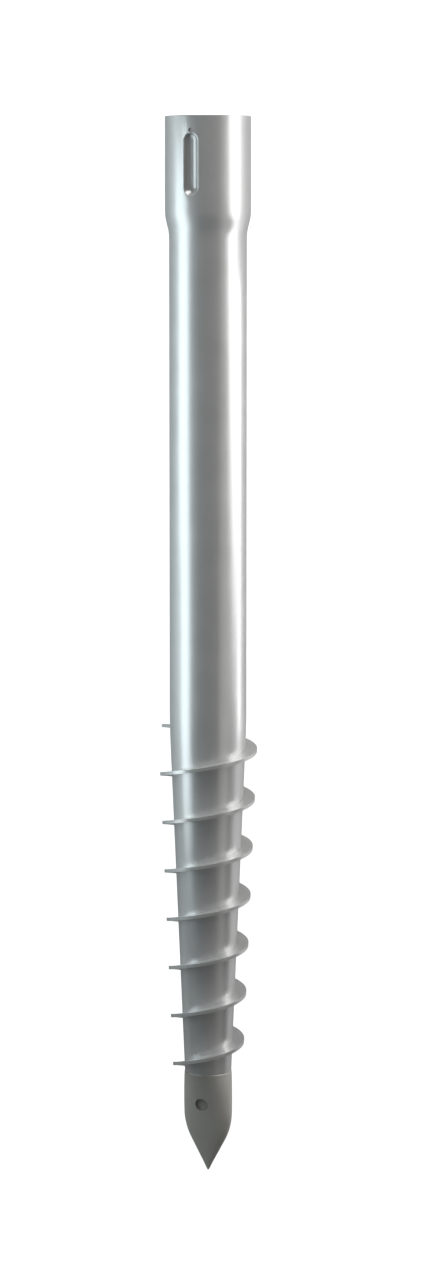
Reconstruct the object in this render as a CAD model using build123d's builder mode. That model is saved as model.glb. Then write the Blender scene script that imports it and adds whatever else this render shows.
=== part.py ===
from build123d import *
from math import asin, atan, atan2, cos, degrees, hypot, radians, sin, sqrt, tan
import os

# Ground screw of galvanised steel, lying on the floor as it comes to rest.
# The head points to +Y and the point to -Y. It rests on the rim of the head and on
# the first turn of the flight, so its axis leans by a fraction of a degree.
# Drops are distances along the axis below the rim. Turns about the axis are
# measured from +X towards the floor.

# Tube: one length of steel tube, widened at its head and drawn down to a taper
shaft_diameter = 76.1
wall = 3.6
head_play = 0.9
head_below_beads = 13.6
neck_angle = 14.12
neck_blend_radius = 42.0
taper_drop = 597.6
taper_blend_radius = 500.0
seam_diameter = 46.4
rim_rounding = 0.4

# Beads pressed into the head, which grip and centre the post
bead_count = 3
bead_turn = -113.5
bead_length = 60.0
bead_top_drop = 16.9
bead_depth = 3.9
bead_radius = 9.8
bead_rolled_edge = 1.6
bead_margin = 6.0

# Round hole above the bead that faces up
vent_diameter = 4.7
vent_above_bead = 2.3

# Flight: a flat strip wound on edge round the taper and cut off square at both ends
flight_width = 11.65
flight_thickness = 3.47
flight_pitch = 48.89
flight_turns = 7
flight_below_taper = 2.7
flight_above_seam = 3.77
flight_start_turn = 159.0

# Point: a forged piece, round at the seam, where it stands a little proud of the tube,
# and flattened to a blade
point_lip = 0.4
flare_length = 42.2
crown_flare = 1.95
blade_turn = -25.0
blade_length = 60.0
shoulder_radius = 57.16
blade_blunting = 0.74
edge_thickness = 0.8
seam_chamfer = 0.8
blade_sections = 15
recess_diameter = 13.5
recess_depth = 2.8
recess_drop = 32.5

# Sizes that follow from those above
shaft_radius = shaft_diameter / 2
head_radius = shaft_radius + wall + head_play / 2
seam_radius = seam_diameter / 2
lip_radius = seam_radius + point_lip
beaded_depth = bead_top_drop + bead_length + bead_margin
head_depth = beaded_depth + head_below_beads
neck_end_drop = head_depth + (head_radius - shaft_radius) / tan(radians(neck_angle))
vent_drop = bead_top_drop - vent_above_bead
flight_top_drop = taper_drop + flight_below_taper
flight_bottom_drop = flight_top_drop + flight_turns * flight_pitch
seam_drop = flight_bottom_drop + flight_above_seam
taper_slope = (shaft_radius - seam_radius) / (seam_drop - taper_drop)
point_length = flare_length + blade_length
overall_length = seam_drop + point_length


def taper_radius(drop):
    """Outer radius of the taper at a drop"""
    return shaft_radius - (drop - taper_drop) * taper_slope


# Where the flight first crosses the side that faces the floor, and the lean of the
# axis that lets the flight and the rim both touch the floor
floor_turn = 90.0
rest_drop = flight_top_drop + (flight_start_turn - floor_turn) / 360 * flight_pitch - flight_thickness / 2
rest_radius = taper_radius(rest_drop) + flight_width
lean = atan((rest_radius - head_radius) / rest_drop)
rim_height = head_radius * cos(lean)
rim_reach = (overall_length * cos(lean) - head_radius * sin(lean)) / 2

# Each piece is drawn in the screw's own frame, with the axis as Z and the middle of
# the rim as origin, and then laid on this plane. Its Z is the axis as the screw lies.
lying = Plane(origin=(0, rim_reach, rim_height), x_dir=(1, 0, 0), z_dir=(0, cos(lean), -sin(lean)))


def across(turn, drop):
    """Plane across the axis at a drop, with its X at a turn about the axis"""
    outward = (cos(radians(turn)), sin(radians(turn)), 0)
    return Plane(origin=(0, 0, -drop), x_dir=outward, z_dir=(0, 0, 1))


def lengthwise(turn):
    """Plane along the axis, with its X outward at a turn and its Y along the axis"""
    section = across(turn, 0)
    return Plane(origin=section.origin, x_dir=section.x_dir, z_dir=-section.y_dir)


def facing(turn, drop, distance):
    """Plane that faces outward at a turn and a drop, at a distance from the axis"""
    section = across(turn, drop)
    return Plane(origin=section.origin + section.x_dir * distance, x_dir=section.y_dir, z_dir=section.x_dir)


# Each bead is the print of a bar with round ends that lies along the tube
bead_half_width = sqrt(bead_radius**2 - (bead_radius - bead_depth) ** 2)
bead_bar_length = bead_length - 2 * bead_half_width
bead_bar_distance = head_radius + bead_radius - bead_depth
bead_middle_drop = bead_top_drop + bead_length / 2


def bar(radius):
    """Bar with round ends where the bead of one sector lies"""
    with BuildPart(Plane.XY.offset(-bead_middle_drop)) as form:
        with Locations((bead_bar_distance, 0, 0)):
            Cylinder(radius, bead_bar_length)
        with Locations((bead_bar_distance, 0, -bead_bar_length / 2), (bead_bar_distance, 0, bead_bar_length / 2)):
            Sphere(radius)
    return form.part


# The metal that a bead pushes into the bore, as thick as the wall
with BuildPart() as ridge:
    add(bar(bead_radius + wall))
    with BuildSketch():
        Circle(head_radius - wall / 2)
    extrude(amount=-beaded_depth, mode=Mode.INTERSECT)

# One sector of the beaded head, with its bead in the middle
with BuildPart() as sector:
    with BuildSketch(lengthwise(-180 / bead_count)):
        with Locations((head_radius, 0)):
            Rectangle(wall, beaded_depth, align=(Align.MAX, Align.MAX))
    revolve(axis=Axis.Z, revolution_arc=360 / bead_count)
    add(ridge.part)
    add(bar(bead_radius), mode=Mode.SUBTRACT)
    fillet(sector.edges(Select.NEW), bead_rolled_edge)

# Below the beads, head, shaft and taper are one outer profile, from which the wall is
# laid inward. The profile runs past the seam, where the tube is cut off square.
taper_end_drop = seam_drop + wall
with BuildPart() as upright_tube:
    with BuildSketch(lengthwise(bead_turn + 180 / bead_count)):
        with BuildLine():
            FilletPolyline(
                (head_radius, -beaded_depth),
                (head_radius, -head_depth),
                (shaft_radius, -neck_end_drop),
                (shaft_radius, -taper_drop),
                (taper_radius(taper_end_drop), -taper_end_drop),
                radius=(neck_blend_radius, neck_blend_radius, taper_blend_radius),
            )
            offset(amount=wall, side=Side.RIGHT, closed=True)
        make_face()
    revolve(axis=Axis.Z)
    split(bisect_by=across(0, seam_drop), keep=Keep.TOP)
    with PolarLocations(0, bead_count, start_angle=bead_turn):
        add(sector.part)
    fillet(upright_tube.edges().group_by(Axis.Z)[-1], rim_rounding)
    with BuildSketch(facing(bead_turn, vent_drop, head_radius)):
        Circle(vent_diameter / 2)
    extrude(amount=-2 * wall, mode=Mode.SUBTRACT)

with BuildPart(lying) as shaft_tube:
    add(upright_tube.part)
shaft_tube.part.label = "shaft_tube"


def strip_corner(lap, outward, rise):
    """One turn of a corner of the strip, which winds round the taper as a helix"""
    bottom_drop = flight_bottom_drop - lap * flight_pitch - rise
    slope_angle = atan(taper_slope)
    turn_of_helix = Helix(
        pitch=flight_pitch / cos(slope_angle),
        height=flight_pitch,
        radius=taper_radius(bottom_drop) + outward,
        cone_angle=degrees(slope_angle),
    )
    return across(flight_start_turn, bottom_drop).location * turn_of_helix.edge()


def strip_faces():
    """The four long sides of the strip, turn by turn, and its two square ends"""
    corners = [
        (0, flight_thickness / 2),
        (flight_width, flight_thickness / 2),
        (flight_width, -flight_thickness / 2),
        (0, -flight_thickness / 2),
    ]
    sides = []
    for lap in range(flight_turns):
        lines = [strip_corner(lap, outward, rise) for outward, rise in corners]
        for line, next_line in zip(lines, lines[1:] + lines[:1]):
            sides.append(Face.make_surface_from_curves(line, next_line))
        if lap == 0:
            bottom_end = Face(Wire.make_polygon([line @ 0 for line in lines]))
        if lap == flight_turns - 1:
            top_end = Face(Wire.make_polygon([line @ 1 for line in lines]))
    return [*sides, bottom_end, top_end]


strip = Solid(Shell(strip_faces()))

with BuildPart(lying) as screw_flight:
    add(strip)
screw_flight.part.label = "screw_flight"

# Half the blade's outline is an arc that flares from the seam to the crown, an arc over
# the shoulder and a straight edge, each tangent to the next
crown_half_width = lip_radius + crown_flare
flare_radius = (flare_length**2 + crown_flare**2) / (2 * crown_flare)
sharp_drop = point_length + blade_blunting
sharp_length = blade_length + blade_blunting
shoulder_inset = shoulder_radius - crown_half_width
edge_angle = asin(shoulder_radius / hypot(sharp_length, shoulder_inset)) - atan2(shoulder_inset, sharp_length)
shoulder_end_drop = flare_length + shoulder_radius * sin(edge_angle)


def blade_half_width(drop):
    """Half the width of the blade at a drop below the seam"""
    if drop < flare_length:
        return crown_half_width - flare_radius + sqrt(flare_radius**2 - (flare_length - drop) ** 2)
    if drop < shoulder_end_drop:
        return crown_half_width - shoulder_radius + sqrt(shoulder_radius**2 - (drop - flare_length) ** 2)
    return (sharp_drop - drop) * tan(edge_angle)


def blade_half_thickness(drop):
    """Half the thickness of the blade, which thins evenly from the seam to its end"""
    return lip_radius + (edge_thickness / 2 - lip_radius) * drop / point_length


blade_taper = degrees(atan((lip_radius - edge_thickness / 2) / point_length))

with BuildPart() as upright_point:
    for index in range(blade_sections):
        drop = point_length * index / (blade_sections - 1)
        with BuildSketch(across(blade_turn, seam_drop + drop)):
            Ellipse(blade_half_width(drop), blade_half_thickness(drop))
    loft()
    chamfer(upright_point.edges().group_by(Axis.Z)[-1], seam_chamfer)
    blade_side = facing(blade_turn - 90, seam_drop + recess_drop, blade_half_thickness(recess_drop))
    with BuildSketch(blade_side.rotated((blade_taper, 0, 0)).offset(-recess_depth)):
        Circle(recess_diameter / 2)
    extrude(amount=lip_radius, mode=Mode.SUBTRACT)

with BuildPart(lying) as ground_point:
    add(upright_point.part)
ground_point.part.label = "ground_point"

os.makedirs("parts", exist_ok=True)
export_step(shaft_tube.part, "parts/shaft_tube.step")
export_step(screw_flight.part, "parts/screw_flight.step")
export_step(ground_point.part, "parts/ground_point.step")
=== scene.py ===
import bmesh
import bpy
from math import cos, pi, radians, sin
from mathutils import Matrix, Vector


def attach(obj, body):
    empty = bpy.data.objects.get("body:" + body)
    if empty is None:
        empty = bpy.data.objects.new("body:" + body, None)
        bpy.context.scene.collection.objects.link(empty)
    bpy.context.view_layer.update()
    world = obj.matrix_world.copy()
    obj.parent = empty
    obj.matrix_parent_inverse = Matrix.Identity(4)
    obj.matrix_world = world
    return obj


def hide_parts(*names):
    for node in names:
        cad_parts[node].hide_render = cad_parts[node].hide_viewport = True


# Ground screw of galvanised steel on a white floor. Lengths are in metres. The head
# points to +Y, the point to -Y, and +X is the right of the picture.

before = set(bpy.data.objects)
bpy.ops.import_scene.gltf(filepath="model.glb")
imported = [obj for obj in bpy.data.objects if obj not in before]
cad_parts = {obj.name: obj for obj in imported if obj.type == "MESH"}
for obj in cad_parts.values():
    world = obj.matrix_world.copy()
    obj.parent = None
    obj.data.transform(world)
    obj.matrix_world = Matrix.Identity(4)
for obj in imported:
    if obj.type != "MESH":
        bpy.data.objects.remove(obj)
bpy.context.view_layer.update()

# Camera: it hangs over the head and looks down, tipped a little towards the point
camera_place = (0.00389, 0.44925, 3.55168)
camera_tip = -7.164
lens_mm = 100.06
sensor_mm = 36.0

# Light on the right: a round key with a dim halo round it, which has a brighter part
# towards the point for the neck to mirror, and a low bar along the shaft
white = (1.0, 1.0, 1.0)
key_radiance = 2.6
key_distance = 1.25
key_start, key_end = -0.096, 1.72
key_low, key_high = -0.84, 0.84
key_halo_radiance = 0.26
key_halo_distance = 2.0
key_halo_start = -0.5
key_halo_high = 2.7
neck_halo_radiance = 0.75
neck_halo_start = -0.8
neck_halo_low, neck_halo_high = 1.1, 3.2
bar_radiance = 2.4
bar_distance = 0.20
bar_start, bar_end = -0.115, 0.36
bar_high = 0.037

# Light on the left: a bluish fill in two parts, with a dim halo
fill_colour = (0.84, 0.96, 1.0)
fill_radiance = 2.3
fill_distance = -0.6
fill_start, fill_middle, fill_end = -0.31, 0.05, 0.54
fill_low, fill_high = 0.02, 0.42
far_fill_low, far_fill_high = 0.08, 0.46
fill_halo_radiance = 0.19
fill_halo_high = 0.85

# Light beyond the head, which brightens the upper faces of the flight
top_colour = (1.0, 0.995, 0.965)
top_radiance = 3.9
top_place = (0.0, 2.6, 1.3)
top_aim = (0.0, -0.89, -0.45)
top_width, top_height = 2.6, 1.2

# Room: radiance and tint by direction. It darkens from a start to an end along Y and
# changes its tint from a start to an end along X.
far_radiance = 0.05
ceiling_radiance = 0.125
far_end, far_start = -0.90, -0.42
left_tint = (0.90, 0.99, 1.0)
right_tint = (1.0, 0.99, 0.955)
tint_start, tint_end = -0.6, 0.3

# Floor: its paint, and the glow that makes it white for the camera
floor_half_width = 8.0
floor_drop = 0.0002
floor_albedo = 0.6
floor_glow_seen = 0.90

# Glow of the floor that the screw mirrors. Across the floor it is black in a strip under
# the screw and grows to its full colour at the reach on either side. The strip's borders
# are shares of the way from the left reach to the right one.
glow_reach = 0.25
glow_strip_left, glow_strip_right = 0.40, 0.54
black = (0.0, 0.0, 0.0)
left_glow = (0.70, 0.88, 0.95)

# The glow on the left grows from nothing at its end to its full strength at Y = 0
left_glow_strength = 0.43
left_glow_end = -0.40

# The glow on the right changes from its end to Y = 0, by shares of that way. Towards the
# point it also comes closer to the screw, by a factor that grows over a stretch of Y.
right_glow_end = -0.68
right_glow_strengths = ((0.0, 0.0), (0.55, 0.45), (0.70, 0.43), (0.90, 0.60))
right_glow_closer = 1.2
closer_start, closer_end = -0.05, -0.20

# Zinc: clouds of two greys and two roughnesses, a fine grain, and painted shade that darkens
# the colour in hollows
cloud_scale, cloud_detail = 28.0, 5.0
cloud_low, cloud_high = 0.3, 0.7
grain_scale, grain_detail = 420.0, 3.0
grain_strength, grain_height = 0.05, 0.0003
# Occlusion below which the painted shade in hollows is at its darkest
painted_shade_openness = 0.7
shading_samples = 8

# The axis of the screw as it lies: middle of the rim and lean towards the point
lean = 0.0117767577
rim_middle = Vector((0.0, 0.5239657508, 0.0420970806))
down_axis = Vector((0.0, -cos(lean), sin(lean)))

# Meshes: reach for welding the borders of CAD faces, length of an edge that is dropped,
# angle above which an edge stays sharp, and angle within which a normal is mended
weld_reach = 2e-6
dropped_edge = 1e-7
sharp_angle = radians(28)
mended_angle = radians(7)

scene = bpy.context.scene
scene.view_settings.view_transform = "Standard"


def softbox(name, shape, place, facing, width, height, radiance, colour):
    """Flat light with its middle at a place, which faces a direction and has its height
    along the vertical"""
    light = bpy.data.lights.new(name, "AREA")
    light.shape = shape
    light.size = width
    light.size_y = height
    light.energy = radiance * width * height * (pi if shape == "RECTANGLE" else pi * pi / 4)
    light.color = colour
    lamp = bpy.data.objects.new(name, light)
    lamp.location = place
    lamp.visible_camera = False
    lamp.rotation_euler = Vector(facing).to_track_quat("-Z", "Y").to_euler()
    scene.collection.objects.link(lamp)


def side_softbox(name, shape, distance, start, end, low, high, radiance, colour):
    """Upright softbox beside the screw, from a start to an end along Y"""
    place = (distance, (start + end) / 2, (low + high) / 2)
    facing = (-1 if distance > 0 else 1, 0, 0)
    softbox(name, shape, place, facing, end - start, high - low, radiance, colour)


side_softbox(
    "key", "ELLIPSE", key_distance, key_start, key_end, key_low, key_high, key_radiance, white
)
side_softbox(
    "key_halo", "RECTANGLE", key_halo_distance, key_halo_start, key_end, 0, key_halo_high,
    key_halo_radiance, white
)
side_softbox(
    "neck_halo", "RECTANGLE", key_halo_distance, neck_halo_start, key_halo_start,
    neck_halo_low, neck_halo_high, neck_halo_radiance, white
)
side_softbox(
    "bar", "RECTANGLE", bar_distance, bar_start, bar_end, 0, bar_high, bar_radiance, white
)
side_softbox(
    "fill", "RECTANGLE", fill_distance, fill_middle, fill_end, fill_low, fill_high,
    fill_radiance, fill_colour
)
side_softbox(
    "far_fill", "RECTANGLE", fill_distance, fill_start, fill_middle, far_fill_low,
    far_fill_high, fill_radiance, fill_colour
)
side_softbox(
    "fill_halo", "RECTANGLE", fill_distance, fill_start, fill_end, 0, fill_halo_high,
    fill_halo_radiance, fill_colour
)
softbox(
    "top", "RECTANGLE", top_place, top_aim, top_width, top_height, top_radiance, top_colour
)


def map_range(tree, source, low, high, to_low=0.0, to_high=1.0):
    """Output that goes from one value to another while the source goes from low to high"""
    node = tree.nodes.new("ShaderNodeMapRange")
    node.inputs["From Min"].default_value = low
    node.inputs["From Max"].default_value = high
    node.inputs["To Min"].default_value = to_low
    node.inputs["To Max"].default_value = to_high
    tree.links.new(source, node.inputs["Value"])
    return node.outputs["Result"]


def calculate(tree, operation, *terms):
    """Output of a calculation with other outputs and with numbers"""
    node = tree.nodes.new("ShaderNodeMath")
    node.operation = operation
    for socket, term in zip(node.inputs, terms):
        if isinstance(term, bpy.types.NodeSocket):
            tree.links.new(term, socket)
        else:
            socket.default_value = term
    return node.outputs["Value"]


def mix_colours(tree, factor, first, second):
    """Output that goes from the first colour to the second with the factor"""
    node = tree.nodes.new("ShaderNodeMix")
    node.data_type = "RGBA"
    node.inputs["A"].default_value = (*first, 1)
    node.inputs["B"].default_value = (*second, 1)
    tree.links.new(factor, node.inputs["Factor"])
    return node.outputs["Result"]


def colour_ramp(tree, factor, stops):
    """Output that follows stops, each with its place and its colour"""
    node = tree.nodes.new("ShaderNodeValToRGB")
    elements = node.color_ramp.elements
    for element, (place, colour) in zip(elements, (stops[0], stops[-1])):
        element.position = place
        element.color = (*colour, 1)
    for place, colour in stops[1:-1]:
        elements.new(place).color = (*colour, 1)
    tree.links.new(factor, node.inputs["Fac"])
    return node.outputs["Color"]


def noise(tree, coordinates, scale, detail):
    """Output of a noise in the piece's own coordinates"""
    node = tree.nodes.new("ShaderNodeTexNoise")
    node.inputs["Scale"].default_value = scale
    node.inputs["Detail"].default_value = detail
    tree.links.new(coordinates, node.inputs["Vector"])
    return node.outputs["Fac"]


def add_shaders(tree, first, second):
    """Output of two shaders added up"""
    node = tree.nodes.new("ShaderNodeAddShader")
    tree.links.new(first, node.inputs[0])
    tree.links.new(second, node.inputs[1])
    return node.outputs["Shader"]


# World: white where the camera sees it, else the room
world = bpy.data.worlds.new("room")
scene.world = world
world.use_nodes = True
tree = world.node_tree
tree.nodes.clear()
coords = tree.nodes.new("ShaderNodeTexCoord")
direction = tree.nodes.new("ShaderNodeSeparateXYZ")
tree.links.new(coords.outputs["Generated"], direction.inputs["Vector"])
room_radiance = map_range(
    tree, direction.outputs["Y"], far_end, far_start, far_radiance, ceiling_radiance
)
tint_share = map_range(tree, direction.outputs["X"], tint_start, tint_end)
room = tree.nodes.new("ShaderNodeBackground")
tree.links.new(mix_colours(tree, tint_share, left_tint, right_tint), room.inputs["Color"])
tree.links.new(room_radiance, room.inputs["Strength"])
seen = tree.nodes.new("ShaderNodeBackground")
seen.inputs["Color"].default_value = (*white, 1)
path = tree.nodes.new("ShaderNodeLightPath")
mix = tree.nodes.new("ShaderNodeMixShader")
tree.links.new(path.outputs["Is Camera Ray"], mix.inputs["Fac"])
tree.links.new(room.outputs["Background"], mix.inputs[1])
tree.links.new(seen.outputs["Background"], mix.inputs[2])
world_out = tree.nodes.new("ShaderNodeOutputWorld")
tree.links.new(mix.outputs["Shader"], world_out.inputs["Surface"])

# Floor: white, with the screw's shadow
half = floor_half_width
corners = [(-half, -half, 0), (half, -half, 0), (half, half, 0), (-half, half, 0)]
floor_mesh = bpy.data.meshes.new("floor")
floor_mesh.from_pydata(corners, [], [(0, 1, 2, 3)])
floor = bpy.data.objects.new("floor", floor_mesh)
floor.location.z = -floor_drop
scene.collection.objects.link(floor)
paint = bpy.data.materials.new("floor_white")
paint.use_nodes = True
floor_mesh.materials.append(paint)
tree = paint.node_tree
tree.nodes.clear()
matt = tree.nodes.new("ShaderNodeBsdfDiffuse")
matt.inputs["Color"].default_value = (floor_albedo, floor_albedo, floor_albedo, 1)
path = tree.nodes.new("ShaderNodeLightPath")
seen_glow = tree.nodes.new("ShaderNodeEmission")
tree.links.new(
    calculate(tree, "MULTIPLY", path.outputs["Is Camera Ray"], floor_glow_seen),
    seen_glow.inputs["Strength"],
)
coords = tree.nodes.new("ShaderNodeTexCoord")
split = tree.nodes.new("ShaderNodeSeparateXYZ")
tree.links.new(coords.outputs["Object"], split.inputs["Vector"])
across, along = split.outputs["X"], split.outputs["Y"]
on_the_right = calculate(tree, "GREATER_THAN", across, 0.0)
closer = map_range(tree, along, closer_start, closer_end, 0.0, right_glow_closer)
stretch = calculate(tree, "MULTIPLY_ADD", on_the_right, closer, 1.0)
stretched = calculate(tree, "MULTIPLY", across, stretch)
sideways = map_range(tree, stretched, -glow_reach, glow_reach)
glow_colour = colour_ramp(
    tree, sideways,
    ((0.0, left_glow), (glow_strip_left, black), (glow_strip_right, black), (1.0, white)),
)
left_strength = map_range(tree, along, left_glow_end, 0.0, 0.0, left_glow_strength)
right_strength = colour_ramp(
    tree, map_range(tree, along, right_glow_end, 0.0),
    [(place, (grey, grey, grey)) for place, grey in right_glow_strengths],
)
strength = tree.nodes.new("ShaderNodeMix")
tree.links.new(on_the_right, strength.inputs["Factor"])
tree.links.new(left_strength, strength.inputs["A"])
tree.links.new(right_strength, strength.inputs["B"])
mirrored_glow = tree.nodes.new("ShaderNodeEmission")
tree.links.new(glow_colour, mirrored_glow.inputs["Color"])
tree.links.new(
    calculate(tree, "MULTIPLY", path.outputs["Is Glossy Ray"], strength.outputs["Result"]),
    mirrored_glow.inputs["Strength"],
)
glow = add_shaders(tree, seen_glow.outputs["Emission"], mirrored_glow.outputs["Emission"])
floor_out = tree.nodes.new("ShaderNodeOutputMaterial")
tree.links.new(add_shaders(tree, matt.outputs["BSDF"], glow), floor_out.inputs["Surface"])


def zinc(name, light, dark, smooth, rough, metallic, painted_shade_reach, painted_shade_share, edge_radius):
    """Hot-dip zinc. Hollows within a reach get painted shade: the piece's own occlusion takes
    their colour down to a share of itself. Edges are shaded as round where they are given a
    radius."""
    material = bpy.data.materials.new(name)
    material.use_nodes = True
    tree = material.node_tree
    shader = tree.nodes["Principled BSDF"]
    shader.inputs["Metallic"].default_value = metallic
    place = tree.nodes.new("ShaderNodeTexCoord").outputs["Object"]
    clouds = noise(tree, place, cloud_scale, cloud_detail)
    colour = mix_colours(tree, map_range(tree, clouds, cloud_low, cloud_high), dark, light)
    # Painted shade: occlusion by the piece itself darkens the colour in its hollows and
    # creases
    painted_shade_ao = tree.nodes.new("ShaderNodeAmbientOcclusion")
    painted_shade_ao.only_local = True
    painted_shade_ao.samples = shading_samples
    painted_shade_ao.inputs["Distance"].default_value = painted_shade_reach
    shade = map_range(tree, painted_shade_ao.outputs["AO"], painted_shade_openness, 1.0, painted_shade_share, 1.0)
    shaded = tree.nodes.new("ShaderNodeVectorMath")
    shaded.operation = "SCALE"
    tree.links.new(colour, shaded.inputs["Vector"])
    tree.links.new(shade, shaded.inputs["Scale"])
    tree.links.new(shaded.outputs["Vector"], shader.inputs["Base Color"])
    roughness = map_range(tree, clouds, cloud_low, cloud_high, smooth, rough)
    tree.links.new(roughness, shader.inputs["Roughness"])
    bump = tree.nodes.new("ShaderNodeBump")
    bump.inputs["Strength"].default_value = grain_strength
    bump.inputs["Distance"].default_value = grain_height
    tree.links.new(noise(tree, place, grain_scale, grain_detail), bump.inputs["Height"])
    if edge_radius:
        edges = tree.nodes.new("ShaderNodeBevel")
        edges.samples = shading_samples
        edges.inputs["Radius"].default_value = edge_radius
        tree.links.new(edges.outputs["Normal"], bump.inputs["Normal"])
    tree.links.new(bump.outputs["Normal"], shader.inputs["Normal"])
    return material


# Each zinc gets painted shade in its hollows: a reach, and the share of its colour that it
# goes down to
tube_zinc = zinc(
    "tube_zinc", light=(0.70, 0.70, 0.70), dark=(0.66, 0.66, 0.66), smooth=0.30, rough=0.34,
    metallic=0.66, painted_shade_reach=0.03, painted_shade_share=0.35, edge_radius=0
)
flight_zinc = zinc(
    "flight_zinc", light=(0.72, 0.72, 0.715), dark=(0.68, 0.68, 0.675), smooth=0.30,
    rough=0.34, metallic=0.66, painted_shade_reach=0.008, painted_shade_share=0.9, edge_radius=0.00016
)
point_zinc = zinc(
    "point_zinc", light=(0.70, 0.68, 0.635), dark=(0.66, 0.64, 0.595), smooth=0.44,
    rough=0.50, metallic=0.6, painted_shade_reach=0.008, painted_shade_share=0.6, edge_radius=0
)


def mend_normals(mesh, place):
    """Makes each normal that nearly points away from the screw's axis do so exactly"""
    normals = []
    for corner in mesh.corner_normals:
        normals.append(corner.vector.copy())
    for index, loop in enumerate(mesh.loops):
        spot = place @ mesh.vertices[loop.vertex_index].co - rim_middle
        outward = spot - down_axis * spot.dot(down_axis)
        sideways = down_axis.cross(outward).normalized()
        leaning = normals[index].dot(sideways)
        if abs(leaning) < sin(mended_angle):
            normals[index] = (normals[index] - sideways * leaning).normalized()
    mesh.normals_split_custom_set(normals)


def skin(name, node, material, is_round):
    """Copy of a CAD node with even shading across the borders of its faces"""
    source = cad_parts[node]
    mesh = source.data.copy()
    mesh.name = name
    cad_normals = mesh.attributes.get("custom_normal")
    if cad_normals:
        mesh.attributes.remove(cad_normals)
    form = bmesh.new()
    form.from_mesh(mesh)
    bmesh.ops.remove_doubles(form, verts=form.verts, dist=weld_reach)
    bmesh.ops.dissolve_degenerate(form, edges=form.edges, dist=dropped_edge)
    for face in form.faces:
        face.smooth = True
    for edge in form.edges:
        edge.smooth = edge.is_manifold and edge.calc_face_angle(0.0) < sharp_angle
    form.to_mesh(mesh)
    form.free()
    mesh.materials.clear()
    mesh.materials.append(material)
    piece = bpy.data.objects.new(name, mesh)
    scene.collection.objects.link(piece)
    piece.matrix_world = source.matrix_world
    if is_round:
        mend_normals(mesh, source.matrix_world)
    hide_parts(node)
    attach(piece, "root")


skin("tube", "shaft_tube", tube_zinc, True)
skin("flight", "screw_flight", flight_zinc, False)
skin("point", "ground_point", point_zinc, False)

lens = bpy.data.cameras.new("camera")
lens.lens = lens_mm
lens.sensor_width = sensor_mm
camera = bpy.data.objects.new("camera", lens)
camera.location = camera_place
camera.rotation_euler = (radians(camera_tip), 0, 0)
scene.collection.objects.link(camera)
scene.camera = camera
